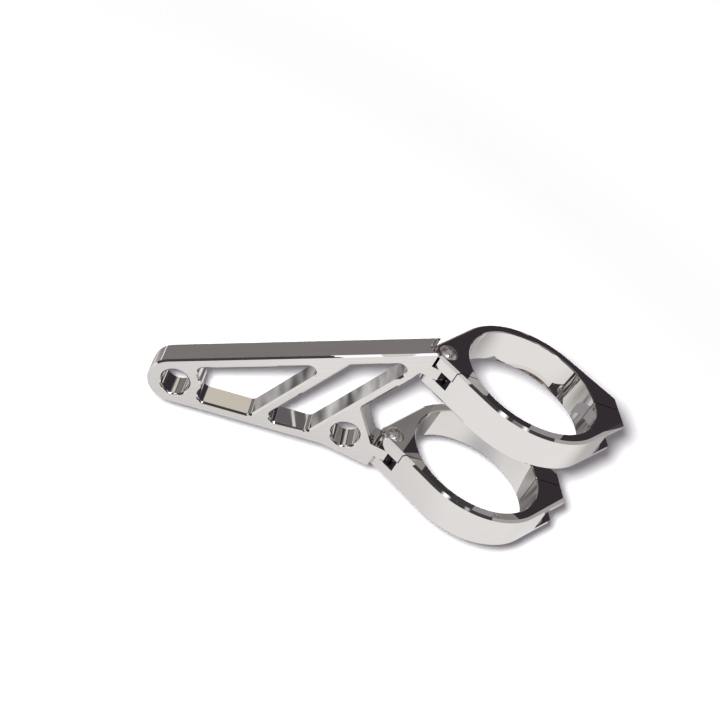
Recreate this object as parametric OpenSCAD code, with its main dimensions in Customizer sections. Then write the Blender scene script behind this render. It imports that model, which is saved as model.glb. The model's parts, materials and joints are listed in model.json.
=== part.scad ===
// Headlight mounting bracket: a flat windowed arm held by two hinged fork clamps.
// Millimetres. +Z runs up the fork tube, and the origin is on the fork's axis at the
// middle of the lower clamp. The arm is a plate parallel to the X-Z plane, reaching to -X.

/* [Fork clamps] */
// Diameter of the fork tube that the clamps close on
fork_d = 41; // [35:0.5:50]
// Wall of the clamp ring round the bore
clamp_wall = 3.4; // [3:0.1:6]
// Height of each clamp along the fork
clamp_h = 11; // [9:0.5:16]
// Distance between the middles of the two clamps along the fork
clamp_spacing = 33; // [28:1:45]
// Chamfer along the outer edges of the clamps
clamp_edge = 0.7; // [0.3:0.1:1]
// Chamfer at both mouths of the fork bore
bore_edge = 0.3; // [0.1:0.1:0.5]
// Turn of both clamps on their knuckle screws, measured from the plane of the arm
swing = 13; // [0:1:25]
// Slit left between the two halves of a clamp
seam_gap = 0.3; // [0.2:0.05:0.8]

/* [Knuckles] */
// Distance from the fork's axis to the knuckle screw
knuckle_reach = 27.5; // [26:0.5:36]
// Radius of the round nose on the clamp's ears
ear_r = 4.1; // [3.8:0.1:5]
// How far the ears reach past the knuckle screw, across the seam
ear_reach = 7.6; // [6.5:0.1:9]
// Free height above and below the tongue, between the ears
tongue_gap = 0.1; // [0.05:0.05:0.3]
// Room round the tongue's end and round the ears' noses
swing_room = 1.2; // [0.6:0.1:1.6]
// Thread diameter of the knuckle screws
knuckle_screw_d = 3; // [2.5:0.5:4]
// Diameter of the knuckle screws' domed heads
knuckle_head_d = 5.7; // [5:0.1:7]
// Height of the knuckle screws' domed heads
knuckle_head_h = 1.65; // [1.2:0.05:2.4]
// Width across flats of the knuckle screws' hexagon sockets
knuckle_key = 2; // [1.5:0.5:2.5]

/* [Pinch screws] */
// Distance from the fork's axis to the pinch screw's axis
pinch_reach = 26.2; // [25.5:0.1:30]
// Distance from the fork's axis to the flat far end of the clamp
end_reach = 29.7; // [28:0.1:40]
// Width of the clamp's flat far end, across the seam
end_w = 11.6; // [10:0.2:16]
// Thread diameter of the pinch screws
pinch_screw_d = 3; // [3:0.5:4]
// Length of the pinch screws under the head
pinch_screw_l = 8; // [7:0.5:10]
// Diameter of the pinch screws' heads
pinch_head_d = 5.5; // [5:0.1:6.4]
// Height of the pinch screws' heads
pinch_head_h = 2; // [1.6:0.1:3]
// Width across flats of the pinch screws' hexagon sockets
pinch_key = 2; // [1.5:0.5:2.5]
// Thickness of metal left under the pinch screw's head
pinch_floor = 2; // [1.6:0.1:3]
// Room round the pinch screw's head in its pocket
pocket_room = 0.9; // [0.2:0.1:1]

/* [Arm] */
// Thickness of the arm plate
plate_t = 8.7; // [7:0.1:12]
// Chamfer along the edges of the arm plate
plate_edge = 0.55; // [0.2:0.05:0.8]
// Diameter of the two headlight bolt holes
bolt_d = 8.4; // [6.4:0.1:10.5]
// Chamfer at the mouths of the bolt holes
bolt_edge = 0.45; // [0.1:0.05:0.8]
// Metal round the bolt holes, from the hole's axis to the edge of the plate
boss_r = 7.5; // [7:0.1:10]
// How far the plate's round end is centred beyond the outer bolt hole
end_shift = 0.9; // [0:0.1:3]
// How much less metal the block has on its sloping side, towards the knuckle
boss_edge = 0.4; // [0:0.1:1]
// Distance from the knuckle screws to the outer bolt hole, along X
outer_bolt_x = 63.8; // [50:0.5:90]
// Height of the outer bolt hole above the middle of the lower clamp
outer_bolt_z = -8.1; // [-20:0.1:5]
// Distance from the knuckle screws to the inner bolt hole, along X
inner_bolt_x = 13.5; // [12.5:0.5:16]
// Height of the inner bolt hole above the middle of the lower clamp
inner_bolt_z = 0.9; // [-1:0.1:2]
// Depth of the plate below the middle of the lower clamp
foot_z = 6.1; // [5.8:0.1:9]
// Rise of the arm's upper edge, in degrees
top_rise = 32.5; // [28:0.5:36]
// Rise of the arm's lower edge, in degrees
bottom_rise = 12; // [6:0.5:16]
// Width of the rails above and below the windows
rail_w = 3.2; // [2.5:0.1:4.5]
// Rise of the struts between the windows, in degrees
strut_rise = 64.5; // [60:0.5:68]
// Width of the strut between the two windows
mid_strut_w = 2.8; // [2:0.1:5]
// Width of the strut that carries the upper knuckle
end_strut_w = 2.3; // [2:0.1:4]
// Distance along X from the knuckle screws to the foot of the end strut, level with the lower clamp
strut_foot_x = 19.2; // [18:0.1:21]
// Distance between the slanted sides of the inner window, across the struts
inner_window_w = 10.8; // [8:0.1:14]
// Radius of the windows' corners
window_r = 2; // [1:0.1:2.4]

/* [Hidden] */
$fn = 96;
chrome = "#c9c7c4";
steel = "#a9a7a5";
big = 300;
fork_r = fork_d / 2;
ring_r = fork_r + clamp_wall;
// Each clamp is split in three along its height: ear, tongue, ear
third = clamp_h / 3;
knuckle_x = -knuckle_reach * cos(swing);
knuckle_y = -knuckle_reach * sin(swing);
// Fits on the knuckle screw: free in the tongue and in the eared half that carries the head
knuckle_bore_d = knuckle_screw_d + 0.2;
pinch_bore_d = pinch_screw_d + 0.4;
tongue_r = plate_t / 2;
tongue_h = third - 2 * tongue_gap;
notch_r = tongue_r + swing_room / 4;
// Concave seat in the plate's shoulders that lets the ears turn
shoulder_r = ear_r + swing_room;
// Slope of the clamp's flanks, which touch the nose and the ring
flank = asin((ring_r - ear_r) / knuckle_reach);
// The notch's wall meets the flank where the ear's seam does
notch_x = -knuckle_reach - ear_r * sin(flank) + (ear_reach - ear_r * cos(flank)) / tan(flank);
pocket_h = pinch_head_d + 2 * pocket_room;
pocket_x = pinch_reach - pinch_head_d / 2 - pocket_room;
key_depth_share = 0.6;
// Finest step of an arc in the plate's outlines, in degrees
arc_step = 7.5;
// Outer corners keep a little roundness past the chamfer, and hollow ones are round
corner_r = plate_edge + 0.1;
hollow_r = 0.6;
// How far the windows' chamfers run on past the plate's faces, so that they cut through
window_flare = 0.5;
// Angle of a hexagon's corner, used to size the sockets by their flats
hex_corner = cos(30);

// Point beside the line through p with the given rise, at distance d to its upper side
function beside(p, rise, d) = [p[0] - d * sin(rise), p[1] + d * cos(rise)];
// Where the line through p rising at a meets the line through q rising at b
function meet(p, a, q, b) =
    let (t = ((q[0] - p[0]) * sin(b) - (q[1] - p[1]) * cos(b)) / sin(b - a))
    [p[0] + t * cos(a), p[1] + t * sin(a)];

// The arm's outline lies in x and z, with x = 0 on the knuckle screws' axis
outer_bolt = [-outer_bolt_x, outer_bolt_z];
inner_bolt = [-inner_bolt_x, inner_bolt_z];
top_p = beside(outer_bolt, top_rise, boss_r);
bottom_p = beside(outer_bolt, bottom_rise, -boss_r);
// The round end touches both long edges, which come together past the bolt hole
wedge = (top_rise - bottom_rise) / 2;
end_centre = outer_bolt - end_shift * [cos(top_rise - wedge), sin(top_rise - wedge)];
end_r = boss_r - end_shift * sin(wedge);
top_rail_p = beside(top_p, top_rise, -rail_w);
bottom_rail_p = beside(bottom_p, bottom_rise, rail_w);
strut_p = [-strut_foot_x, 0];
inner_window_p = beside(strut_p, strut_rise, end_strut_w);
mid_strut_p = beside(inner_window_p, strut_rise, inner_window_w);
outer_window_p = beside(mid_strut_p, strut_rise, mid_strut_w);
// The block round the inner bolt hole ends on a slope that touches the hole's boss
block_fall = -50;
block_p = beside(inner_bolt, block_fall, boss_r - boss_edge);
foot_p = [plate_t, -foot_z];
upper_tongue_p = [plate_t, clamp_spacing - tongue_h / 2];
lower_tongue_p = [plate_t, tongue_h / 2];

// An outline is a list of arcs [centre, radius, start, end], joined by straight lines. It runs
// counterclockwise, and an arc that runs clockwise is a hollow corner.
function arc_points(arc, grow) =
    let (turn = arc[3] - arc[2], r = arc[1] + (turn > 0 ? grow : -grow), n = max(3, ceil(abs(turn) / arc_step)))
    [for (i = [0:n]) arc[0] + r * [cos(arc[2] + turn * i / n), sin(arc[2] + turn * i / n)]];
function ring(arcs, grow) = [for (arc = arcs) each arc_points(arc, grow)];
// Arc of radius r in the corner at p, between an edge coming in along a and one leaving along b
function corner(p, a, b, r) =
    let (hollow = b < a, side = hollow ? -1 : 1, d = r / cos((b - a) / 2), bisector = (a + b) / 2 + 90)
    [p + side * d * [cos(bisector), sin(bisector)], r, hollow ? a + 90 : a - 90, hollow ? b + 90 : b - 90];

// The plate's outline, with the gap between the knuckles filled: it starts at its round end
plate_arcs = [
    [end_centre, end_r, top_rise + 90, bottom_rise + 270],
    corner(meet(bottom_p, bottom_rise, foot_p, 0), bottom_rise, 0, hollow_r),
    corner(foot_p, 0, 90, corner_r),
    corner(meet(top_p, top_rise, foot_p, 90), 90, top_rise + 180, corner_r)
];

inner_window_arcs = [
    corner(meet(bottom_rail_p, bottom_rise, mid_strut_p, strut_rise), strut_rise - 180, bottom_rise, window_r),
    corner(meet(bottom_rail_p, bottom_rise, inner_window_p, strut_rise), bottom_rise, strut_rise, window_r),
    corner(meet(top_rail_p, top_rise, inner_window_p, strut_rise), strut_rise, top_rise + 180, window_r),
    corner(meet(top_rail_p, top_rise, mid_strut_p, strut_rise), top_rise + 180, strut_rise + 180, window_r)
];

// The outer window's left side follows the metal round the bolt hole, and its two corner arcs
// there touch that round and a rail: lean is the angle between their centre and the rail's normal
lean = acos((boss_r - rail_w - window_r) / (boss_r + window_r));
top_lean = top_rise + 90 - lean;
bottom_lean = bottom_rise - 90 + lean;
outer_window_arcs = [
    corner(meet(bottom_rail_p, bottom_rise, outer_window_p, strut_rise), bottom_rise, strut_rise, window_r),
    corner(meet(top_rail_p, top_rise, outer_window_p, strut_rise), strut_rise, top_rise + 180, window_r),
    [outer_bolt + (boss_r + window_r) * [cos(top_lean), sin(top_lean)], window_r, top_rise + 90, top_lean + 180],
    [outer_bolt, boss_r, top_lean, bottom_lean],
    [outer_bolt + (boss_r + window_r) * [cos(bottom_lean), sin(bottom_lean)], window_r,
     bottom_lean + 180, bottom_rise + 270]
];

// The gap between the knuckles: its slanted sides and their corner move out by grow, and the
// tongues' sides stay. It runs clockwise from the lower tongue, so the ring is reversed.
function knuckle_gap(grow) =
    let (
        strut = beside(strut_p, strut_rise, grow),
        block = beside(block_p, block_fall, -grow),
        bend = corner(meet(strut_p, strut_rise, block_p, block_fall), strut_rise - 180, block_fall, hollow_r)
    ) [
        each arc_points(bend, grow),
        meet(block, block_fall, lower_tongue_p, 0),
        lower_tongue_p,
        upper_tongue_p,
        meet(strut, strut_rise, upper_tongue_p, 0)
    ];

// Solid through rings of equal length, given as [y, outline points], from the front to the back
module through(rings) {
    n = len(rings[0][1]);
    last = len(rings) - 1;
    polyhedron(
        points = [for (level = rings) for (q = level[1]) [q[0], level[0], q[1]]],
        faces = [
            [for (i = [n - 1:-1:0]) i],
            for (k = [0:last - 1]) for (i = [0:n - 1])
                [k * n + i, k * n + (i + 1) % n, (k + 1) * n + (i + 1) % n, (k + 1) * n + i],
            [for (i = [0:n - 1]) last * n + i]
        ]
    );
}

// The plate with its openings, before its bores and seats, centred on y = 0. The openings widen
// at both faces by the plate's chamfer, and run on past the faces.
module arm_blank() {
    y = plate_t / 2;
    edge_y = y - plate_edge;
    out = plate_edge + window_flare;
    difference() {
        through([
            [-y, ring(plate_arcs, -plate_edge)],
            [-edge_y, ring(plate_arcs, 0)],
            [edge_y, ring(plate_arcs, 0)],
            [y, ring(plate_arcs, -plate_edge)]
        ]);
        for (arcs = [inner_window_arcs, outer_window_arcs]) through([
            [-edge_y - out, ring(arcs, out)],
            [-edge_y, ring(arcs, 0)],
            [edge_y, ring(arcs, 0)],
            [edge_y + out, ring(arcs, out)]
        ]);
        through([
            [-edge_y - out, knuckle_gap(out)],
            [-edge_y, knuckle_gap(0)],
            [edge_y, knuckle_gap(0)],
            [edge_y + out, knuckle_gap(out)]
        ]);
    }
}

// A bore along Y at a point of the plate, with a chamfer at each mouth
module bolt_hole(p) {
    translate([p[0], 0, p[1]]) rotate([90, 0, 0]) {
        cylinder(h = plate_t + 2, d = bolt_d, center = true);
        for (side = [0, 1]) mirror([0, 0, side])
            translate([0, 0, plate_t / 2 - bolt_edge])
                cylinder(h = bolt_edge + 1, d1 = bolt_d, d2 = bolt_d + 2 * bolt_edge + 2);
    }
}

// Seats for the ears past the tongues, and the round ends of the tongues
module knuckle_seats() {
    translate([0, 0, clamp_spacing + tongue_h / 2]) cylinder(h = big, r = shoulder_r);
    mirror([0, 0, 1]) translate([0, 0, tongue_h / 2]) cylinder(h = big, r = shoulder_r);
    difference() {
        translate([0, -plate_t, -big / 2]) cube([2 * plate_t, 2 * plate_t, big]);
        cylinder(h = big + 2, r = tongue_r, center = true);
    }
}

module arm() {
    color(chrome) translate([knuckle_x, knuckle_y, 0]) difference() {
        arm_blank();
        bolt_hole(outer_bolt);
        bolt_hole(inner_bolt);
        knuckle_seats();
        translate([0, 0, -clamp_h]) cylinder(h = clamp_spacing + 2 * clamp_h, d = knuckle_bore_d);
    }
}

// Disc of radius r and the clamp's height, with its edges chamfered
module edged_disc(r) {
    cylinder(h = clamp_h - 2 * clamp_edge, r = r, center = true);
    cylinder(h = clamp_h, r = r - clamp_edge, center = true);
}

// A whole closed clamp without its bores: fork's axis at the origin, knuckle on -X
module clamp_blank() {
    flat_w = end_w - 2 * clamp_edge;
    hull() {
        edged_disc(ring_r);
        translate([-knuckle_reach, 0, 0]) edged_disc(ear_r);
        translate([0, -end_w / 2, clamp_edge - clamp_h / 2]) cube([end_reach, end_w, clamp_h - 2 * clamp_edge]);
        translate([0, -flat_w / 2, -clamp_h / 2]) cube([end_reach - clamp_edge, flat_w, clamp_h]);
    }
}

// The fork's bore with a small chamfer at each mouth
module fork_bore() {
    cylinder(h = clamp_h + 2, r = fork_r, center = true);
    for (side = [0, 1]) mirror([0, 0, side])
        translate([0, 0, clamp_h / 2 - bore_edge])
            cylinder(h = bore_edge + 1, r1 = fork_r, r2 = fork_r + bore_edge + 1);
}

// The space between the ears, where the arm's tongue turns
module notch() {
    translate([-big, -big / 2, -third / 2]) cube([big + notch_x, big, third]);
    translate([-knuckle_reach, 0, -third / 2]) cylinder(h = third, r = notch_r);
}

// Everything that belongs to the eared half on the +Y side: its ear is the upper one
module half_space() {
    difference() {
        union() {
            translate([-big / 2, seam_gap / 2, -big / 2]) cube([big, big, big]);
            translate([-big / 2, -ear_reach, third / 2]) cube([big / 2, big, big]);
        }
        translate([-big / 2, -big + ear_reach + seam_gap, -third / 2 - big]) cube([big / 2, big, big]);
    }
}

// Half of a clamp without its screw holes, on the +Y side
module plain_half() {
    intersection() {
        difference() {
            clamp_blank();
            fork_bore();
            notch();
        }
        half_space();
    }
}

// Rear half: the knuckle screw's head sits on its ear, and the pinch screw ends in it
module rear_half() {
    difference() {
        plain_half();
        translate([-knuckle_reach, 0, 0]) cylinder(h = clamp_h, d = knuckle_bore_d);
        translate([pinch_reach, 0, 0]) rotate([-90, 0, 0]) cylinder(h = ring_r, d = pinch_screw_d);
    }
}

// Front half: its lower ear takes the knuckle screw's thread, and its pocket the pinch screw's head
module front_half() {
    difference() {
        rotate([180, 0, 0]) plain_half();
        translate([-knuckle_reach, 0, -clamp_h]) cylinder(h = clamp_h, d = knuckle_screw_d);
        translate([pinch_reach, 0, 0]) rotate([90, 0, 0]) cylinder(h = ring_r, d = pinch_bore_d);
        translate([pocket_x, -pinch_floor - ring_r, -pocket_h / 2]) cube([ring_r, ring_r, pocket_h]);
    }
}

// Hexagon socket of width across flats key, sunk from z = 0 downwards
module key_socket(key, depth) {
    translate([0, 0, -depth]) cylinder(h = depth + 1, d = key / hex_corner, $fn = 6);
}

// Dome of diameter d and height h on z = 0, the cap of a sphere
module dome(d, h) {
    sphere_r = (d * d / 4 + h * h) / (2 * h);
    intersection() {
        translate([0, 0, h - sphere_r]) sphere(sphere_r);
        cylinder(h = h, d = d);
    }
}

// Domed screw with its head's seat on z = 0 and its shank below
module knuckle_screw() {
    color(steel) difference() {
        union() {
            dome(knuckle_head_d, knuckle_head_h);
            translate([0, 0, -clamp_h]) cylinder(h = clamp_h, d = knuckle_screw_d);
        }
        translate([0, 0, knuckle_head_h]) key_socket(knuckle_key, key_depth_share * knuckle_head_h);
    }
}

// Low-headed screw with its head's seat on z = 0 and its shank below
module pinch_screw() {
    color(steel) difference() {
        union() {
            cylinder(h = pinch_head_h, d = pinch_head_d);
            translate([0, 0, -pinch_screw_l]) cylinder(h = pinch_screw_l, d = pinch_screw_d);
        }
        translate([0, 0, pinch_head_h]) key_socket(pinch_key, key_depth_share * pinch_head_h);
    }
}

// Puts a clamp's piece at height z, turned with its clamp about the knuckle
module in_clamp(z) {
    translate([knuckle_x, knuckle_y, z]) rotate([0, 0, swing]) translate([knuckle_reach, 0, 0]) children();
}

module clamp_knuckle_screw(z) {
    in_clamp(z) translate([-knuckle_reach, 0, clamp_h / 2]) knuckle_screw();
}

module clamp_pinch_screw(z) {
    in_clamp(z) translate([pinch_reach, -pinch_floor, 0]) rotate([90, 0, 0]) pinch_screw();
}

module lower_clamp_rear_half() { color(chrome) in_clamp(0) rear_half(); }
module lower_clamp_front_half() { color(chrome) in_clamp(0) front_half(); }
module lower_knuckle_screw() { clamp_knuckle_screw(0); }
module lower_pinch_screw() { clamp_pinch_screw(0); }
module upper_clamp_rear_half() { color(chrome) in_clamp(clamp_spacing) rear_half(); }
module upper_clamp_front_half() { color(chrome) in_clamp(clamp_spacing) front_half(); }
module upper_knuckle_screw() { clamp_knuckle_screw(clamp_spacing); }
module upper_pinch_screw() { clamp_pinch_screw(clamp_spacing); }

arm();
lower_clamp_rear_half();
lower_clamp_front_half();
lower_knuckle_screw();
lower_pinch_screw();
upper_clamp_rear_half();
upper_clamp_front_half();
upper_knuckle_screw();
upper_pinch_screw();
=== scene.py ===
"""Looks of the chromed headlight mounting bracket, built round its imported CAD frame.

The row frame is in metres: +Z runs up the fork tube, the origin is on its axis at the middle
of the lower clamp, and the arm's plate reaches towards -X with its outer face towards -Y.
"""

from __future__ import annotations

import json
import logging
import math
from dataclasses import dataclass
from enum import Enum

import bpy
from mathutils import Matrix, Vector

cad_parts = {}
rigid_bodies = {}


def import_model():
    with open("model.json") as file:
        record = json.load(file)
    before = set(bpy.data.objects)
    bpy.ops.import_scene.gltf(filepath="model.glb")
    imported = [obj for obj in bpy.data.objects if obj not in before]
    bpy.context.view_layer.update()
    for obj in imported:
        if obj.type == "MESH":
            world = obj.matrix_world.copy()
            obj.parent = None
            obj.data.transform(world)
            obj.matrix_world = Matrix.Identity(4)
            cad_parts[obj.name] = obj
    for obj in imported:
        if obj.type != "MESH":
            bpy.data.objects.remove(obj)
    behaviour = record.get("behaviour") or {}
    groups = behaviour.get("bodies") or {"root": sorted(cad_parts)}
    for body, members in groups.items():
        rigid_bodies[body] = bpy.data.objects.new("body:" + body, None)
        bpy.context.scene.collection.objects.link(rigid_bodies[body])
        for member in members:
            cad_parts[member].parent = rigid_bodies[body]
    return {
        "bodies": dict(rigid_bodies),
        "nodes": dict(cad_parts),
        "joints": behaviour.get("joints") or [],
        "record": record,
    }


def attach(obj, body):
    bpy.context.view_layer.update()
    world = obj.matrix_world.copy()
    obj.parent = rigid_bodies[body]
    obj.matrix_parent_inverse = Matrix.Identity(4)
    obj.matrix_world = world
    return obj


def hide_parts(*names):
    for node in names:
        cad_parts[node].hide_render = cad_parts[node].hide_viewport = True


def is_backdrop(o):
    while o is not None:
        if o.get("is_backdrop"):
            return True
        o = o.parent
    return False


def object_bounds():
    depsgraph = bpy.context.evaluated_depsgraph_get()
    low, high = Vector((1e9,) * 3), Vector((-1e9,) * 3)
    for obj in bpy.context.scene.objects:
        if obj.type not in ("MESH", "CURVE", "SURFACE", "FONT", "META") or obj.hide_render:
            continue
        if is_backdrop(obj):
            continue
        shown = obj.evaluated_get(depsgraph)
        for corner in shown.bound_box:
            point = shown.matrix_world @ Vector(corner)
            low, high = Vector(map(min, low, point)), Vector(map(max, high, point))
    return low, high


log = logging.getLogger("bracket")

MM = 0.001
Triple = tuple[float, float, float]
WHITE = (1.0, 1.0, 1.0, 1.0)
# Dark of the dome over the studio, and the dark half of the painted shade in the upper bore.
ROOM_DARK_AND_BORE_SHADE: Triple = (0.07, 0.065, 0.07)
# Near-black of the painted shade in the knuckle notches.
NOTCH_SHADE: Triple = (0.03, 0.027, 0.035)
# Grey of the panel behind the upper ring's rim, and the grey half of the painted shade in the upper bore.
RIM_GREY_AND_BORE_SHADE: Triple = (0.36, 0.35, 0.37)
SPOT_BLUE: Triple = (0.93, 0.96, 1.0)


class Slot(Enum):
    """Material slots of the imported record."""

    ARM = "arm_chrome"
    CLAMP = "clamp_chrome"
    SCREW = "screw_chrome"


class Body(Enum):
    """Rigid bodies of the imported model."""

    LOWER = "lower_clamp"
    ARM = "arm"
    UPPER = "upper_clamp"


class Head(Enum):
    """Shapes of a socket screw's head."""

    DOMED = "domed"
    LOW = "low"


def only(obj: bpy.types.Object) -> None:
    """Make obj the one selected and active object.

    Args:
        obj: The object that the next operators act on.
    """
    bpy.ops.object.select_all(action="DESELECT")
    obj.select_set(True)
    bpy.context.view_layer.objects.active = obj


def settle(obj: bpy.types.Object) -> None:
    """Move obj's place into its mesh, so that its object sits at the origin.

    Args:
        obj: A mesh object.
    """
    only(obj)
    bpy.ops.object.transform_apply(location=True, rotation=True, scale=True)


def apply_modifier(obj: bpy.types.Object, kind: str, **settings: object) -> None:
    """Add a modifier to obj, set it up and apply it.

    Args:
        obj: The mesh object to change.
        kind: Blender's name of the modifier type.
        settings: The modifier's own settings.
    """
    only(obj)
    modifier = obj.modifiers.new(kind.lower(), kind)
    for name, value in settings.items():
        setattr(modifier, name, value)
    bpy.ops.object.modifier_apply(modifier=modifier.name)


def set_up(node: bpy.types.Node, values: dict[str, object]) -> bpy.types.Node:
    """Set inputs of a node by their names.

    Args:
        node: The node.
        values: The value for each named input.

    Returns:
        The node itself.
    """
    for name, value in values.items():
        node.inputs[name].default_value = value
    return node


def combine(
    tree: bpy.types.NodeTree, operation: str, first: bpy.types.NodeSocket, second: bpy.types.NodeSocket
) -> bpy.types.NodeSocket:
    """Add a math node that combines two values.

    Args:
        tree: The node tree.
        operation: Blender's name of the operation.
        first: The first value.
        second: The second value.

    Returns:
        The result's socket.
    """
    node = tree.nodes.new("ShaderNodeMath")
    node.operation = operation
    tree.links.new(first, node.inputs[0])
    tree.links.new(second, node.inputs[1])
    return node.outputs["Value"]


class ShaderGroup:
    """Shader node group that is built once and placed in every material that uses it."""

    NAME = ""
    INPUTS: tuple[tuple[str, str, object], ...] = ()
    OUTPUTS: tuple[tuple[str, str], ...] = ()

    @classmethod
    def place(cls, tree: bpy.types.NodeTree, values: dict[str, object]) -> bpy.types.Node:
        """Place the group in a material, and build it at its first use.

        Args:
            tree: The material's node tree.
            values: The material's own values for the group's inputs.

        Returns:
            The group's node.
        """
        node = tree.nodes.new("ShaderNodeGroup")
        node.node_tree = bpy.data.node_groups.get(cls.NAME) or cls._build()
        return set_up(node, values)

    @classmethod
    def _build(cls) -> bpy.types.NodeTree:
        """Build the group.

        Returns:
            The new shader node group.
        """
        tree = bpy.data.node_groups.new(cls.NAME, "ShaderNodeTree")
        for name, kind, value in cls.INPUTS:
            tree.interface.new_socket(name=name, in_out="INPUT", socket_type=kind).default_value = value
        for name, kind in cls.OUTPUTS:
            tree.interface.new_socket(name=name, in_out="OUTPUT", socket_type=kind)
        given, made = tree.nodes.new("NodeGroupInput"), tree.nodes.new("NodeGroupOutput")
        cls._fill(tree, given, made)
        return tree

    @classmethod
    def _fill(cls, tree: bpy.types.NodeTree, given: bpy.types.Node, made: bpy.types.Node) -> None:
        """Add the nodes between the group's inputs and outputs.

        Args:
            tree: The group's node tree.
            given: The node that holds the group's inputs.
            made: The node that takes the group's outputs.
        """
        raise NotImplementedError


class PolishGroup(ShaderGroup):
    """The marks that polishing leaves under and in the chrome: soft waves, drawn lines, uneven tone."""

    NAME = "polish_marks"
    INPUTS = (
        ("Vector", "NodeSocketVector", (0.0, 0.0, 0.0)),
        ("Wave Scale", "NodeSocketFloat", 70.0),
        ("Line Scale", "NodeSocketFloat", 6000.0),
        ("Line Share", "NodeSocketFloat", 0.02),
        ("Line Tone", "NodeSocketFloat", 0.2),
        ("Bright", "NodeSocketColor", (0.8, 0.8, 0.8, 1.0)),
        ("Dull", "NodeSocketColor", (0.7, 0.7, 0.7, 1.0)),
        ("Roughness Low", "NodeSocketFloat", 0.004),
        ("Roughness High", "NodeSocketFloat", 0.03),
    )
    OUTPUTS = (("Color", "NodeSocketColor"), ("Roughness", "NodeSocketFloat"), ("Height", "NodeSocketFloat"))
    WAVE = {"Detail": 1.5, "Roughness": 0.4}
    LINE = {"Detail": 2.0}
    LINE_SLOPE = math.radians(-32.5)
    LINE_STRETCH = 65.0
    HAZE_SPAN = {"From Min": 0.35, "From Max": 0.7}

    @classmethod
    def _fill(cls, tree: bpy.types.NodeTree, given: bpy.types.Node, made: bpy.types.Node) -> None:
        """Add the waves, the lines along the arm's slope, and what they do to tone, gloss and relief.

        Args:
            tree: The group's node tree.
            given: The node that holds the group's inputs.
            made: The node that takes the group's outputs.
        """
        nodes, links = tree.nodes, tree.links
        waves = set_up(nodes.new("ShaderNodeTexNoise"), cls.WAVE)
        links.new(given.outputs["Vector"], waves.inputs["Vector"])
        links.new(given.outputs["Wave Scale"], waves.inputs["Scale"])

        along = nodes.new("ShaderNodeMapping")
        along.vector_type = "TEXTURE"
        set_up(along, {"Rotation": (0.0, cls.LINE_SLOPE, 0.0), "Scale": (cls.LINE_STRETCH, 1.0, 1.0)})
        lines = set_up(nodes.new("ShaderNodeTexNoise"), cls.LINE)
        links.new(given.outputs["Vector"], along.inputs["Vector"])
        links.new(along.outputs["Vector"], lines.inputs["Vector"])
        links.new(given.outputs["Line Scale"], lines.inputs["Scale"])

        height, streak = nodes.new("ShaderNodeMix"), nodes.new("ShaderNodeMix")
        for mix, share in ((height, "Line Share"), (streak, "Line Tone")):
            mix.data_type = "FLOAT"
            links.new(given.outputs[share], mix.inputs["Factor"])
            links.new(waves.outputs["Fac"], mix.inputs["A"])
            links.new(lines.outputs["Fac"], mix.inputs["B"])
        links.new(height.outputs["Result"], made.inputs["Height"])

        tone = nodes.new("ShaderNodeMix")
        tone.data_type = "RGBA"
        links.new(streak.outputs["Result"], tone.inputs["Factor"])
        links.new(given.outputs["Bright"], tone.inputs["A"])
        links.new(given.outputs["Dull"], tone.inputs["B"])
        links.new(tone.outputs["Result"], made.inputs["Color"])

        haze = set_up(nodes.new("ShaderNodeMapRange"), cls.HAZE_SPAN)
        links.new(waves.outputs["Fac"], haze.inputs["Value"])
        links.new(given.outputs["Roughness Low"], haze.inputs["To Min"])
        links.new(given.outputs["Roughness High"], haze.inputs["To Max"])
        links.new(haze.outputs["Result"], made.inputs["Roughness"])


class CloudGroup(ShaderGroup):
    """Soft clouds between two colours, for the studio panels."""

    NAME = "studio_clouds"
    INPUTS = (
        ("Vector", "NodeSocketVector", (0.0, 0.0, 0.0)),
        ("Grain", "NodeSocketVector", (1.0, 1.0, 1.0)),
        ("Dim", "NodeSocketColor", (0.3, 0.3, 0.3, 1.0)),
        ("Lit", "NodeSocketColor", (0.6, 0.6, 0.6, 1.0)),
    )
    OUTPUTS = (("Color", "NodeSocketColor"),)
    CLOUD = {"Scale": 1.0, "Detail": 1.0}
    CLOUD_SPAN = {"From Min": 0.32, "From Max": 0.68}

    @classmethod
    def _fill(cls, tree: bpy.types.NodeTree, given: bpy.types.Node, made: bpy.types.Node) -> None:
        """Add the clouds.

        Args:
            tree: The group's node tree.
            given: The node that holds the group's inputs.
            made: The node that takes the group's output.
        """
        nodes, links = tree.nodes, tree.links
        stretch = nodes.new("ShaderNodeMapping")
        cloud = set_up(nodes.new("ShaderNodeTexNoise"), cls.CLOUD)
        level = set_up(nodes.new("ShaderNodeMapRange"), cls.CLOUD_SPAN)
        tone = nodes.new("ShaderNodeMix")
        tone.data_type = "RGBA"
        links.new(given.outputs["Vector"], stretch.inputs["Vector"])
        links.new(given.outputs["Grain"], stretch.inputs["Scale"])
        links.new(stretch.outputs["Vector"], cloud.inputs["Vector"])
        links.new(cloud.outputs["Fac"], level.inputs["Value"])
        links.new(level.outputs["Result"], tone.inputs["Factor"])
        links.new(given.outputs["Dim"], tone.inputs["A"])
        links.new(given.outputs["Lit"], tone.inputs["B"])
        links.new(tone.outputs["Result"], made.inputs["Color"])


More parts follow.
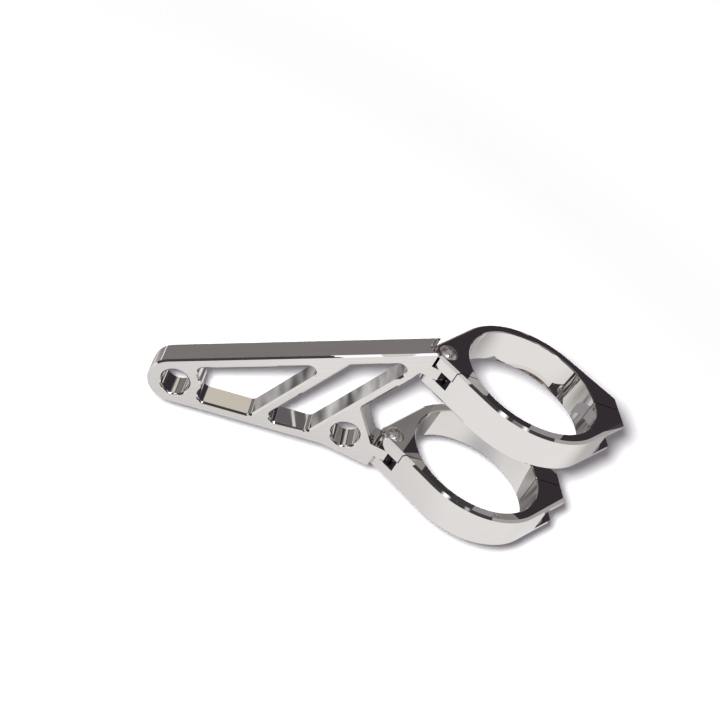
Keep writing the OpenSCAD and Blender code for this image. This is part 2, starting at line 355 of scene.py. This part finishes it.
class FadeGroup(ShaderGroup):
    """Mask that rises smoothly from 0 to 1 with the distance from a middle, for cards and the floor."""

    NAME = "studio_fade"
    INPUTS = (
        ("Vector", "NodeSocketVector", (0.0, 0.0, 0.0)),
        ("Middle", "NodeSocketVector", (0.5, 0.5, 0.0)),
        ("Near", "NodeSocketFloat", 0.0),
        ("Far", "NodeSocketFloat", 0.5),
    )
    OUTPUTS = (("Mask", "NodeSocketFloat"),)

    @classmethod
    def _fill(cls, tree: bpy.types.NodeTree, given: bpy.types.Node, made: bpy.types.Node) -> None:
        """Add the distance and its smooth step.

        Args:
            tree: The group's node tree.
            given: The node that holds the group's inputs.
            made: The node that takes the group's output.
        """
        nodes, links = tree.nodes, tree.links
        away = nodes.new("ShaderNodeVectorMath")
        away.operation = "DISTANCE"
        step = nodes.new("ShaderNodeMapRange")
        step.interpolation_type = "SMOOTHSTEP"
        links.new(given.outputs["Vector"], away.inputs[0])
        links.new(given.outputs["Middle"], away.inputs[1])
        links.new(away.outputs["Value"], step.inputs["Value"])
        links.new(given.outputs["Near"], step.inputs["From Min"])
        links.new(given.outputs["Far"], step.inputs["From Max"])
        links.new(step.outputs["Result"], made.inputs["Mask"])


@dataclass(frozen=True)
class ChromeFinish:
    """Polished chrome plate with its polishing marks.

    Attributes:
        name: The material's name.
        bright: Reflectance where the plate is cleanest.
        dull: Reflectance where it is slightly hazed.
        wave_scale: Fineness of the soft waves left by the polishing wheel.
        line_scale: Fineness of the drawn lines along the arm.
        line_share: Share of the drawn lines in the relief, from 0 to 1.
        line_tone: Share of the drawn lines in the uneven tone, from 0 to 1.
        relief: Depth of the relief in metres.
        smooth: Lowest roughness.
        hazed: Highest roughness.
    """

    name: str
    bright: Triple = (0.77, 0.745, 0.725)
    dull: Triple = (0.71, 0.685, 0.665)
    wave_scale: float = 70.0
    line_scale: float = 6000.0
    line_share: float = 0.02
    line_tone: float = 0.2
    relief: float = 6e-6
    smooth: float = 0.004
    hazed: float = 0.03

    def material(self) -> bpy.types.Material:
        """Build the material.

        Returns:
            A node material that reads Object coordinates.
        """
        material = bpy.data.materials.new(self.name)
        material.use_nodes = True
        nodes, links = material.node_tree.nodes, material.node_tree.links
        shader = set_up(nodes["Principled BSDF"], {"Metallic": 1.0})
        place = nodes.new("ShaderNodeTexCoord")
        marks = PolishGroup.place(material.node_tree, {
            "Wave Scale": self.wave_scale,
            "Line Scale": self.line_scale,
            "Line Share": self.line_share,
            "Line Tone": self.line_tone,
            "Bright": (*self.bright, 1.0),
            "Dull": (*self.dull, 1.0),
            "Roughness Low": self.smooth,
            "Roughness High": self.hazed,
        })
        bump = set_up(nodes.new("ShaderNodeBump"), {"Distance": self.relief})
        links.new(place.outputs["Object"], marks.inputs["Vector"])
        links.new(marks.outputs["Color"], shader.inputs["Base Color"])
        links.new(marks.outputs["Roughness"], shader.inputs["Roughness"])
        links.new(marks.outputs["Height"], bump.inputs["Height"])
        links.new(bump.outputs["Normal"], shader.inputs["Normal"])
        return material


@dataclass
class PhotoCamera:
    """Camera at the photograph's viewing angle.

    Attributes:
        aim: Point on the camera's axis, in the row frame, in metres.
        distance: Distance from the camera to that point.
        azimuth: Degrees round +Z, 0 looking along +Y.
        elevation: Degrees above the horizon.
        roll: Degrees that the picture is turned about the camera's axis.
        focal: Focal length in millimetres.
        sensor: Width of the sensor in millimetres.
        clip: Nearest and farthest distance that it sees, in metres.
    """

    aim: Triple = (-0.0434, 0.0144, 0.0099)
    distance: float = 0.41266
    azimuth: float = -10.278
    elevation: float = 33.004
    roll: float = -31.44
    focal: float = 68.94
    sensor: float = 36.0
    clip: tuple[float, float] = (0.01, 20.0)

    def build(self) -> bpy.types.Object:
        """Create the camera and make it the scene's.

        Returns:
            The camera object.
        """
        around, above = math.radians(self.azimuth), math.radians(self.elevation)
        flat = math.cos(above)
        back = Vector((flat * math.sin(around), -flat * math.cos(around), math.sin(above)))
        data = bpy.data.cameras.new("photo_camera")
        data.lens, data.sensor_width = self.focal, self.sensor
        data.clip_start, data.clip_end = self.clip
        camera = bpy.data.objects.new("photo_camera", data)
        bpy.context.scene.collection.objects.link(camera)
        turn = back.to_track_quat("Z", "Y").to_matrix() @ Matrix.Rotation(math.radians(-self.roll), 3, "Z")
        camera.rotation_euler = turn.to_euler()
        camera.location = Vector(self.aim) + back * self.distance
        bpy.context.scene.camera = camera
        return camera


@dataclass(frozen=True)
class Glow:
    """Plain or clouded glow of a studio piece that only reflections show.

    Attributes:
        tone: Colour of its light.
        strength: Brightness of its light, where 1 is white.
        mottle: Share by which the brightness varies from place to place.
        grain: Fineness of the clouds along each axis.
        soft: True if the glow fades from the middle to the rim.
        one_sided: True if the piece can be looked through from behind.
        rim: Distance from the UV map's middle at which a soft glow ends.
    """

    tone: Triple
    strength: float = 1.0
    mottle: float = 0.0
    grain: Triple = (1.0, 1.0, 1.0)
    soft: bool = False
    one_sided: bool = False
    rim: float = 0.5

    def dress(self, obj: bpy.types.Object) -> None:
        """Give a card, panel or dome its glow, and hide it from everything but reflections.

        Args:
            obj: The studio piece.
        """
        material = bpy.data.materials.new(obj.name)
        material.use_nodes = True
        tree = material.node_tree
        nodes, links = tree.nodes, tree.links
        nodes.remove(nodes["Principled BSDF"])
        place = nodes.new("ShaderNodeTexCoord")
        light = nodes.new("ShaderNodeEmission")
        set_up(light, {"Color": (*self.tone, 1.0), "Strength": self.strength})
        if self.mottle:
            clouds = CloudGroup.place(tree, {
                "Grain": self.grain,
                "Dim": (*(value * (1 - self.mottle) for value in self.tone), 1.0),
                "Lit": (*(value * (1 + self.mottle) for value in self.tone), 1.0),
            })
            links.new(place.outputs["Object"], clouds.inputs["Vector"])
            links.new(clouds.outputs["Color"], light.inputs["Color"])
        surface = light.outputs["Emission"]
        if self.soft:
            fade = FadeGroup.place(tree, {"Middle": (0.5, 0.5, 0.0), "Near": 0.0, "Far": self.rim})
            links.new(place.outputs["UV"], fade.inputs["Vector"])
            surface = self._clear_by(tree, surface, fade.outputs["Mask"])
        if self.one_sided:
            side = nodes.new("ShaderNodeNewGeometry")
            surface = self._clear_by(tree, surface, side.outputs["Backfacing"])
        links.new(surface, nodes["Material Output"].inputs["Surface"])
        obj.data.materials.append(material)
        obj.visible_camera = obj.visible_diffuse = obj.visible_shadow = False
        obj.visible_transmission = obj.visible_volume_scatter = False
        obj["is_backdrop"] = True

    @staticmethod
    def _clear_by(
        tree: bpy.types.NodeTree, surface: bpy.types.NodeSocket, share: bpy.types.NodeSocket
    ) -> bpy.types.NodeSocket:
        """Make a surface clear where a mask says so.

        Args:
            tree: The material's node tree.
            surface: The shader to look through.
            share: The mask, 1 where the surface is clear.

        Returns:
            The mixed shader's socket.
        """
        clear = tree.nodes.new("ShaderNodeBsdfTransparent")
        choice = tree.nodes.new("ShaderNodeMixShader")
        tree.links.new(share, choice.inputs["Fac"])
        tree.links.new(surface, choice.inputs[1])
        tree.links.new(clear.outputs["BSDF"], choice.inputs[2])
        return choice.outputs["Shader"]


@dataclass(frozen=True)
class Card:
    """Flat studio card that faces the object, placed by its direction.

    Attributes:
        name: The card's name.
        azimuth: Degrees round the object, 0 behind it (+Y) and 90 at its right (+X).
        elevation: Degrees above the horizon.
        wide: Width in degrees, seen from the point that it faces.
        high: Height in degrees, seen from the point that it faces.
        glow: Its light.
        reach: Distance from that point in metres; a nearer card hides a farther one.
        facing: The point that the card faces, in the row frame.
    """

    name: str
    azimuth: float
    elevation: float
    wide: float
    high: float
    glow: Glow
    reach: float = 1.0
    facing: Triple = (-0.035, 0.0, 0.012)

    def build(self) -> None:
        """Add the card."""
        around, above = math.radians(self.azimuth), math.radians(self.elevation)
        flat = math.cos(above)
        away = Vector((flat * math.sin(around), flat * math.cos(around), math.sin(above)))
        bpy.ops.mesh.primitive_plane_add(size=2 * self.reach)
        card = bpy.context.active_object
        card.name = self.name
        card.scale = (math.tan(math.radians(self.wide / 2)), math.tan(math.radians(self.high / 2)), 1.0)
        card.rotation_euler = (-away).to_track_quat("Z", "Y").to_euler()
        card.location = Vector(self.facing) + away * self.reach
        settle(card)
        self.glow.dress(card)


@dataclass(frozen=True)
class Panel:
    """Flat studio panel close to the object, upright or lying over the floor.

    Attributes:
        name: The panel's name.
        low: Lowest corner in the row frame, in metres.
        high: Highest corner; a lying panel takes only X and Y from the corners.
        glow: Its light.
        lying: True over the floor, False upright and parallel to the arm's plate.
        lift: Height of a lying panel over the lowest one in metres.
    """

    name: str
    low: Triple
    high: Triple
    glow: Glow
    lying: bool = False
    lift: float = 0.0

    def build(self, ground: float) -> None:
        """Add the panel.

        Args:
            ground: Height of the lowest lying panels.
        """
        low, high = Vector(self.low), Vector(self.high)
        middle, size = (low + high) / 2, high - low
        bpy.ops.mesh.primitive_plane_add(size=1.0)
        panel = bpy.context.active_object
        panel.name = self.name
        if self.lying:
            panel.scale = (size.x, size.y, 1.0)
            panel.location = (middle.x, middle.y, ground + self.lift)
        else:
            panel.scale = (size.x, size.z, 1.0)
            panel.rotation_euler = (math.radians(90), 0.0, 0.0)
            panel.location = middle
        settle(panel)
        self.glow.dress(panel)


@dataclass
class Studio:
    """Plain pale floor, soft light, and the dome, cards and panels that the chrome reflects.

    Attributes:
        floor_gap: Gap between the object's lowest point and the floor.
        shade_gap: Gap between that point and the lying panels.
        floor_size: Side of the square floor.
        pale: Colour of the floor.
        ambient: Colour of the world on surfaces that aren't glossy, which is that of the shadow.
        shadow_middle: Middle of the object's shadow on the floor.
        near: Distance from that middle up to which the floor shows the shadow.
        far: Distance from which the floor is seen plain.
        lamp_power: Power of the lamp.
        lamp_size: Diameter of the lamp in metres.
        lamp_shift: The lamp's place beside the camera, to its right and up, in metres.
        dome_glow: Light of the dome over the object.
        dome_radius: Radius of the dome.
        dome_rim: Height of the dome's rim over the floor.
        dome_facets: Segments and rings of the whole ball.
        cards: The cards round the object.
        panels: The panels close to the object, several of which are painted shade or shadow that the chrome
            reflects.
    """

    floor_gap: float = 0.035
    shade_gap: float = 0.010
    floor_size: float = 12.0
    pale: Triple = (0.97, 0.97, 0.97)
    ambient: Triple = (0.2, 0.185, 0.205)
    shadow_middle: tuple[float, float] = (-0.035, 0.09)
    near: float = 0.15
    far: float = 0.34
    lamp_power: float = 20.0
    lamp_size: float = 0.02
    lamp_shift: tuple[float, float] = (-0.0095, 0.0105)
    dome_glow: Glow = Glow(ROOM_DARK_AND_BORE_SHADE)
    dome_radius: float = 3.0
    dome_rim: float = 0.02
    dome_facets: tuple[int, int] = (48, 24)
    cards: tuple[Card, ...] = (
        Card("back_flag", 24.0, 36.0, 62.0, 46.0, Glow((0.045, 0.036, 0.045)), reach=1.2),
        Card("back_strip", -8.0, 36.0, 7.0, 20.0, Glow((0.16, 0.15, 0.16))),
        Card("back_streak", -10.84, 36.0, 0.15, 16.0, Glow((0.9, 0.86, 0.8)), reach=0.9),
        Card("back_band", -9.9, 36.0, 0.16, 16.0, Glow((0.8, 0.76, 0.7)), reach=0.9),
        Card("back_left_panel", -42.0, 14.0, 46.0, 27.0, Glow((0.255, 0.243, 0.243))),
        Card("beige_panel", -20.5, 37.0, 13.5, 15.0, Glow((0.76, 0.715, 0.625)), reach=0.95),
        Card("left_panel", -92.0, 42.0, 24.0, 14.0, Glow((0.42, 0.4, 0.39))),
        Card("left_softbox", -128.0, 42.0, 26.0, 11.0, Glow((0.93, 0.94, 1.0), 1.5)),
        Card("left_spot", -156.5, 56.2, 15.0, 11.0, Glow(SPOT_BLUE, 3.2, soft=True)),
        Card("front_spot", 160.0, 53.0, 11.0, 10.0, Glow(SPOT_BLUE, 1.8, soft=True)),
        Card("front_panel", 174.0, 57.0, 10.0, 8.0, Glow((0.25, 0.24, 0.25))),
        Card("right_panel", 92.0, 24.0, 52.0, 40.0, Glow((0.48, 0.47, 0.46))),
        Card("camera_softbox", -174.0, 47.0, 18.0, 9.0, Glow((1.0, 1.0, 1.0), 26.0, soft=True)),
        Card("front_low_panel", 180.5, 26.5, 85.0, 21.0, Glow((1.0, 0.98, 0.97), 1.25)),
        Card("overhead_panel", 30.0, 84.0, 52.0, 48.0, Glow((0.42, 0.4, 0.4))),
        Card(
            "upper_ear_card", -118.5, 54.0, 12.0, 12.0, Glow((0.8, 0.8, 0.81)),
            reach=0.12, facing=(-0.0285, -0.0095, 0.038),
        ),
        Card(
            "lower_ear_card", -122.0, 50.5, 12.0, 12.0, Glow((0.84, 0.84, 0.86)),
            reach=0.12, facing=(-0.0285, -0.0095, 0.005),
        ),
    )
    panels: tuple[Panel, ...] = (
        # Partly painted shadow: mottled grey sheets over the floor behind the object stand in for the floor's
        # shade there and for blurred things lying behind, and the strut walls and the bores reflect them.
        Panel(
            "floor_shade_left", (-0.26, 0.034, 0.0), (-0.064, 0.32, 0.0),
            Glow((0.43, 0.425, 0.43), mottle=0.7, grain=(60.0, 46.0, 1.0)), lying=True,
        ),
        Panel(
            "floor_shade_right", (-0.064, 0.021, 0.0), (0.06, 0.11, 0.0),
            Glow((0.24, 0.23, 0.23), mottle=0.8, grain=(60.0, 12.0, 1.0)), lying=True,
        ),
        Panel(
            "behind_lower_ear", (-0.034, 0.042, 0.012), (-0.0095, 0.042, 0.046),
            Glow((0.235, 0.225, 0.225), mottle=0.25, grain=(60.0, 60.0, 60.0)),
        ),
        Panel(
            "behind_lower_ring", (-0.0095, 0.042, 0.012), (0.006, 0.042, 0.031),
            Glow((0.3, 0.29, 0.28), mottle=0.2, grain=(60.0, 60.0, 60.0)),
        ),
        Panel(
            "behind_upper_front", (-0.005, 0.042, 0.0705), (0.0035, 0.042, 0.0765),
            Glow((0.42, 0.41, 0.41), mottle=0.3, grain=(90.0, 90.0, 90.0)),
        ),
        Panel(
            "behind_lower_front", (-0.005, 0.042, 0.0435), (0.0035, 0.042, 0.0495),
            Glow((0.42, 0.41, 0.41), mottle=0.3, grain=(90.0, 90.0, 90.0)),
        ),
        Panel("behind_upper_rim", (0.0216, 0.042, 0.0745), (0.0325, 0.042, 0.0815), Glow(RIM_GREY_AND_BORE_SHADE)),
        # Painted shadow: soft grey patches over the floor, darkest in the middle and clear at the rim, seen
        # only in the chrome as the floor's shade near the object.
        Panel(
            "floor_shadow_right", (-0.025, -0.035, 0.0), (0.205, 0.195, 0.0),
            Glow((0.45, 0.44, 0.44), soft=True), lying=True, lift=0.0006,
        ),
        Panel(
            "floor_shadow_left", (-0.135, -0.02, 0.0), (-0.055, 0.064, 0.0),
            Glow((0.42, 0.41, 0.39), soft=True), lying=True, lift=0.0004,
        ),
        Panel(
            "floor_shadow_ring", (-0.021, -0.031, 0.0), (0.019, 0.009, 0.0),
            Glow((0.6, 0.6, 0.62), soft=True), lying=True, lift=0.0008,
        ),
        Panel(
            "floor_shadow_front", (-0.21, -0.08, 0.0), (0.09, 0.05, 0.0),
            Glow((0.83, 0.82, 0.82), soft=True), lying=True, lift=0.0002,
        ),
        # Painted shade: near-black sheets in the knuckle notches, seen only in the chrome, darken what the
        # notches reflect.
        Panel(
            "upper_notch_shade", (-0.0263, -0.0113, 0.0312), (-0.0225, -0.0113, 0.0348),
            Glow(NOTCH_SHADE),
        ),
        Panel(
            "lower_notch_shade", (-0.0263, -0.0113, -0.0018), (-0.0225, -0.0113, 0.0018),
            Glow(NOTCH_SHADE),
        ),
        # Painted shade: a dark and a grey sheet inside the upper bore, seen only in the chrome, so that
        # chrome looking up into the bore shows a dark and a grey band there instead of white.
        Panel(
            "upper_bore_shade_dark", (0.0035, 0.01, 0.0277), (0.0112, 0.01, 0.032),
            Glow(ROOM_DARK_AND_BORE_SHADE, one_sided=True),
        ),
        Panel(
            "upper_bore_shade_grey", (0.0112, 0.01, 0.0277), (0.0178, 0.01, 0.032),
            Glow(RIM_GREY_AND_BORE_SHADE, one_sided=True),
        ),
    )

    def build(self, lowest: float, camera: bpy.types.Object) -> None:
        """Build the studio round the object.

        Args:
            lowest: Height of the object's lowest point.
            camera: The camera, which the lamp stands beside.
        """
        floor = lowest - self.floor_gap
        self._floor(floor)
        self._world()
        self._lamp(camera)
        self._dome(floor)
        for card in self.cards:
            card.build()
        for panel in self.panels:
            panel.build(lowest - self.shade_gap)

    def _dome(self, floor: float) -> None:
        """Set the dark upper half of a dome over the object.

        Args:
            floor: Height of the floor.
        """
        segments, rings = self.dome_facets
        bpy.ops.mesh.primitive_uv_sphere_add(
            segments=segments, ring_count=rings, radius=self.dome_radius, location=(0, 0, floor)
        )
        dome = bpy.context.active_object
        dome.name = "dome"
        settle(dome)
        bpy.ops.object.mode_set(mode="EDIT")
        bpy.ops.mesh.select_all(action="SELECT")
        bpy.ops.mesh.bisect(plane_co=(0, 0, floor + self.dome_rim), plane_no=(0, 0, 1), clear_inner=True)
        bpy.ops.object.mode_set(mode="OBJECT")
        self.dome_glow.dress(dome)

    def _seen_white(
        self, tree: bpy.types.NodeTree, camera_share: bpy.types.NodeSocket | None = None
    ) -> bpy.types.NodeSocket:
        """Add nodes that pick the rays that are to see plain white.

        Args:
            tree: The material's or world's node tree.
            camera_share: Mask for the camera's rays, or None if all of them see white.

        Returns:
            A socket that is 1 for glossy and transmitted rays, and for the camera's where the mask is 1.
        """
        path = tree.nodes.new("ShaderNodeLightPath")
        camera = path.outputs["Is Camera Ray"]
        if camera_share is not None:
            camera = combine(tree, "MULTIPLY", camera, camera_share)
        through = combine(tree, "MAXIMUM", path.outputs["Is Glossy Ray"], path.outputs["Is Transmission Ray"])
        return combine(tree, "MAXIMUM", through, camera)

    def _floor(self, height: float) -> None:
        """Lay the floor, which keeps the object's shadow and is plain white farther out.

        Args:
            height: The floor's height in the row frame.
        """
        bpy.ops.mesh.primitive_plane_add(size=self.floor_size, location=(0.0, 0.0, height))
        floor = bpy.context.active_object
        floor.name = "floor"
        settle(floor)
        material = bpy.data.materials.new("pale_floor")
        material.use_nodes = True
        tree = material.node_tree
        tree.nodes.remove(tree.nodes["Principled BSDF"])
        matt = set_up(tree.nodes.new("ShaderNodeBsdfDiffuse"), {"Color": (*self.pale, 1.0)})
        glow = set_up(tree.nodes.new("ShaderNodeEmission"), {"Color": WHITE})
        place = tree.nodes.new("ShaderNodeTexCoord")
        outside = FadeGroup.place(
            tree, {"Middle": (*self.shadow_middle, height), "Near": self.near, "Far": self.far}
        )
        tree.links.new(place.outputs["Object"], outside.inputs["Vector"])
        choice = tree.nodes.new("ShaderNodeMixShader")
        tree.links.new(self._seen_white(tree, outside.outputs["Mask"]), choice.inputs["Fac"])
        tree.links.new(matt.outputs["BSDF"], choice.inputs[1])
        tree.links.new(glow.outputs["Emission"], choice.inputs[2])
        tree.links.new(choice.outputs["Shader"], tree.nodes["Material Output"].inputs["Surface"])
        floor.data.materials.append(material)
        floor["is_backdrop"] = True

    def _world(self) -> None:
        """Set a world that is plain white where it is seen and darker where it lights."""
        world = bpy.data.worlds.new("studio_white")
        bpy.context.scene.world = world
        world.use_nodes = True
        tree = world.node_tree
        level = tree.nodes.new("ShaderNodeMix")
        level.data_type = "RGBA"
        set_up(level, {"A": (*self.ambient, 1.0), "B": WHITE})
        tree.links.new(self._seen_white(tree), level.inputs["Factor"])
        tree.links.new(level.outputs["Result"], tree.nodes["Background"].inputs["Color"])

    def _lamp(self, camera: bpy.types.Object) -> None:
        """Stand the soft lamp beside the camera, so that the shadow lies close to the object.

        Args:
            camera: The camera.
        """
        data = bpy.data.lights.new("soft_lamp", "AREA")
        data.shape, data.size = "DISK", self.lamp_size
        data.energy = self.lamp_power
        data.use_nodes = True
        nodes, links = data.node_tree.nodes, data.node_tree.links
        even = set_up(nodes.new("ShaderNodeLightFalloff"), {"Strength": 1.0})
        links.new(even.outputs["Constant"], nodes["Emission"].inputs["Strength"])
        lamp = bpy.data.objects.new("soft_lamp", data)
        bpy.context.scene.collection.objects.link(lamp)
        turn = camera.rotation_euler.to_matrix()
        lamp.location = camera.location + turn @ Vector((*self.lamp_shift, 0.0))
        lamp.rotation_euler = (turn @ Vector((0.0, 0.0, 1.0))).to_track_quat("Z", "Y").to_euler()
        lamp.visible_glossy = False


@dataclass
class PlatedCasting:
    """A machined and plated piece: the CAD node's shape with its edges softened by the plating.

    Attributes:
        node: The CAD node that it stands for.
        body: The body that it rides on.
        slot: The record's material slot; not used.
        finish: The chrome finish.
        edge: Radius of the softened edges in metres.
        weld: Distance up to which the loose triangles' corners are one point.
        flat: Degrees under which neighbouring facets are one flat face.
        sharp: Degrees from which an edge is softened.
        steps: Facets across a softened edge.
        area_weight: How far the large faces set the shading, in percent.
    """

    node: str
    body: Body
    slot: Slot
    finish: bpy.types.Material
    edge: float = 0.00018
    weld: float = 2e-6
    flat: float = 0.3
    sharp: float = 28.0
    steps: int = 2
    area_weight: int = 90

    def build(self, frame: dict) -> bpy.types.Object:
        """Build the piece and put it in the CAD node's place.


        Returns:
            The new piece.
        """
        mesh = frame["nodes"][self.node].data.copy()
        mesh.materials.clear()
        piece = bpy.data.objects.new(self.node + "_plated", mesh)
        bpy.context.scene.collection.objects.link(piece)
        only(piece)
        if mesh.has_custom_normals:
            bpy.ops.mesh.customdata_custom_splitnormals_clear()
        bpy.ops.object.mode_set(mode="EDIT")
        bpy.ops.mesh.select_all(action="SELECT")
        bpy.ops.mesh.remove_doubles(threshold=self.weld)
        bpy.ops.mesh.dissolve_limited(angle_limit=math.radians(self.flat))
        bpy.ops.object.mode_set(mode="OBJECT")
        apply_modifier(
            piece, "BEVEL", width=self.edge, segments=self.steps, limit_method="ANGLE",
            angle_limit=math.radians(self.sharp), use_clamp_overlap=True, miter_outer="MITER_ARC",
        )
        only(piece)
        bpy.ops.object.shade_smooth_by_angle(angle=math.radians(self.sharp))
        apply_modifier(piece, "WEIGHTED_NORMAL", mode="FACE_AREA", weight=self.area_weight, keep_sharp=True)
        piece.data.materials.append(self.finish)
        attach(piece, self.body.value)
        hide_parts(self.node)
        return piece


@dataclass(frozen=True)
class ScrewSize:
    """Sizes of a socket screw in metres.

    Attributes:
        head: Shape of the head.
        head_d: Diameter of the head.
        head_h: Height of the head.
        shank_d: Diameter of the shank.
        shank_l: Length of the shank.
        key: Width across the flats of the hexagon socket.
        depth_share: Depth of the socket as a share of the head's height.
        sunk_share: Length of the shank inside the head as a share of the head's height.
        rounding: Radius of a low head's outer edge.
    """

    head: Head
    head_d: float
    head_h: float
    shank_d: float
    shank_l: float
    key: float
    depth_share: float = 0.6
    sunk_share: float = 0.2
    rounding: float = 0.25 * MM


@dataclass
class SocketScrew:
    """A socket screw, modelled upright with its head's seat at z = 0 and then put in place.

    Attributes:
        node: The CAD node that it stands for.
        body: The body that it rides on.
        finish: The chrome finish.
        size: Its sizes.
        seat: Centre of the head's seat in the row frame.
        turn: Rotation from upright to its own axis.
        sharp: Degrees from which an edge is shaded sharp.
        head_sides: Facets round the head.
        ball_rings: Rings of the whole ball that a dome is cut from.
        rounding_steps: Facets across a low head's rounded edge.
        shank_sides: Facets round the shank.
        socket_sides: Flats of the socket.
    """

    node: str
    body: Body
    finish: bpy.types.Material
    size: ScrewSize
    seat: Vector
    turn: Matrix
    sharp: float = 32.0
    head_sides: int = 64
    ball_rings: int = 48
    rounding_steps: int = 4
    shank_sides: int = 48
    socket_sides: int = 6

    def build(self) -> bpy.types.Object:
        """Build the screw and put it in the CAD node's place.

        Returns:
            The new piece.
        """
        piece = self._dome() if self.size.head is Head.DOMED else self._low_head()
        self._socket(piece)
        self._shank(piece)
        only(piece)
        bpy.ops.object.shade_smooth_by_angle(angle=math.radians(self.sharp))
        piece.name = self.node + "_plated"
        piece.matrix_world = Matrix.Translation(self.seat) @ self.turn.to_4x4()
        settle(piece)
        piece.data.materials.append(self.finish)
        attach(piece, self.body.value)
        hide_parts(self.node)
        return piece

    def _low_head(self) -> bpy.types.Object:
        """Model a low head: a cylinder with a rounded edge.

        Returns:
            The head's object.
        """
        size = self.size
        bpy.ops.mesh.primitive_cylinder_add(
            vertices=self.head_sides, radius=size.head_d / 2, depth=size.head_h,
            location=(0, 0, size.head_h / 2),
        )
        head = bpy.context.active_object
        settle(head)
        apply_modifier(
            head, "BEVEL", width=size.rounding, segments=self.rounding_steps, limit_method="ANGLE"
        )
        return head

    def _dome(self) -> bpy.types.Object:
        """Model a domed head: the cap of a ball.

        Returns:
            The head's object.
        """
        size = self.size
        ball = (size.head_d**2 / 4 + size.head_h**2) / (2 * size.head_h)
        bpy.ops.mesh.primitive_uv_sphere_add(
            segments=self.head_sides, ring_count=self.ball_rings, radius=ball,
            location=(0, 0, size.head_h - ball),
        )
        head = bpy.context.active_object
        settle(head)
        bpy.ops.object.mode_set(mode="EDIT")
        bpy.ops.mesh.select_all(action="SELECT")
        bpy.ops.mesh.bisect(
            plane_co=(0, 0, 0), plane_no=(0, 0, 1), use_fill=True, clear_inner=True, threshold=1e-7
        )
        bpy.ops.object.mode_set(mode="OBJECT")
        return head

    def _socket(self, head: bpy.types.Object) -> None:
        """Sink the hexagon socket into the head.

        Args:
            head: The head's object.
        """
        corner = math.pi / self.socket_sides
        bpy.ops.mesh.primitive_cylinder_add(
            vertices=self.socket_sides, radius=self.size.key / 2 / math.cos(corner),
            depth=2 * self.size.depth_share * self.size.head_h,
            location=(0, 0, self.size.head_h), rotation=(0, 0, corner),
        )
        punch = bpy.context.active_object
        settle(punch)
        apply_modifier(head, "BOOLEAN", operation="DIFFERENCE", object=punch, solver="EXACT")
        bpy.data.objects.remove(punch)

    def _shank(self, head: bpy.types.Object) -> None:
        """Join the shank to the head.

        Args:
            head: The head's object.
        """
        sunk = self.size.sunk_share * self.size.head_h
        bpy.ops.mesh.primitive_cylinder_add(
            vertices=self.shank_sides, radius=self.size.shank_d / 2, depth=self.size.shank_l + sunk,
            location=(0, 0, (sunk - self.size.shank_l) / 2),
        )
        shank = bpy.context.active_object
        settle(shank)
        apply_modifier(head, "BOOLEAN", operation="UNION", object=shank, solver="EXACT")
        bpy.data.objects.remove(shank)


@dataclass
class ForkClamp:
    """One hinged clamp: two plated halves, the knuckle screw and the pinch screw.

    Attributes:
        name: Start of its nodes' names.
        body: The body that it is.
        height: Height of its middle along the fork.
        swing: Degrees that it is turned on its knuckle.
        reach: Distance from the fork's axis to the knuckle screw.
        clamp_h: Height of the clamp.
        pinch_reach: Distance from the fork's axis to the pinch screw.
        pinch_floor: Metal under the pinch screw's head.
        knuckle_screw: Sizes of the domed screw, whose shank is as long as the clamp is high.
        pinch_screw: Sizes of the low screw that pulls the halves together.
    """

    name: str
    body: Body
    height: float
    swing: float = 13.0
    reach: float = 0.0275
    clamp_h: float = 0.011
    pinch_reach: float = 0.0262
    pinch_floor: float = 0.002
    knuckle_screw: ScrewSize = ScrewSize(Head.DOMED, 5.7 * MM, 1.59 * MM, 3 * MM, 0.011, 1.6 * MM)
    pinch_screw: ScrewSize = ScrewSize(Head.LOW, 5.5 * MM, 2 * MM, 3 * MM, 8 * MM, 2 * MM)

    def build(
        self, frame: dict, plate: bpy.types.Material, steel: bpy.types.Material
    ) -> list[bpy.types.Object]:
        """Build the clamp's pieces.

        Args:
            plate: Finish of the halves.
            steel: Finish of the screws.

        Returns:
            The rear half, the front half, the knuckle screw and the pinch screw.
        """
        pieces = [
            PlatedCasting(f"{self.name}_clamp_{half}_half", self.body, Slot.CLAMP, plate).build(frame)
            for half in ("rear", "front")
        ]
        turned = Matrix.Rotation(math.radians(self.swing), 3, "Z")
        across = turned @ Matrix.Rotation(math.radians(90), 3, "X")
        middle = Vector((0, 0, self.height))
        knuckle = middle + turned @ Vector((-self.reach, 0, 0)) + Vector((0, 0, self.clamp_h / 2))
        pinch = middle + turned @ Vector((self.pinch_reach, -self.pinch_floor, 0))
        for kind, size, seat, turn in (
            ("knuckle", self.knuckle_screw, knuckle, turned),
            ("pinch", self.pinch_screw, pinch, across),
        ):
            screw = SocketScrew(f"{self.name}_{kind}_screw", self.body, steel, size, seat, turn)
            pieces.append(screw.build())
        return pieces


def main() -> None:
    """Build the scene: camera, bracket, studio."""
    logging.basicConfig(level=logging.INFO, format="%(name)s: %(message)s")
    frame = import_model()
    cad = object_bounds()
    bpy.context.scene.view_settings.view_transform = "Standard"
    camera = PhotoCamera().build()

    arm_chrome = ChromeFinish(
        "arm_chrome", dull=(0.66, 0.635, 0.615), line_scale=2500.0, line_share=0.05, line_tone=0.7
    ).material()
    clamp_chrome = ChromeFinish("clamp_chrome").material()
    screw_chrome = ChromeFinish(
        "screw_chrome", wave_scale=240.0, relief=2e-6, smooth=0.29, hazed=0.34
    ).material()

    pieces = [PlatedCasting("arm", Body.ARM, Slot.ARM, arm_chrome).build(frame)]
    for clamp in (ForkClamp("lower", Body.LOWER, height=0.0), ForkClamp("upper", Body.UPPER, height=0.033)):
        pieces += clamp.build(frame, clamp_chrome, screw_chrome)
    for piece in pieces:
        log.info("%s: %d faces", piece.name, len(piece.data.polygons))
    Studio().build(cad[0].z, camera)


if __name__ == "__main__":
    main()
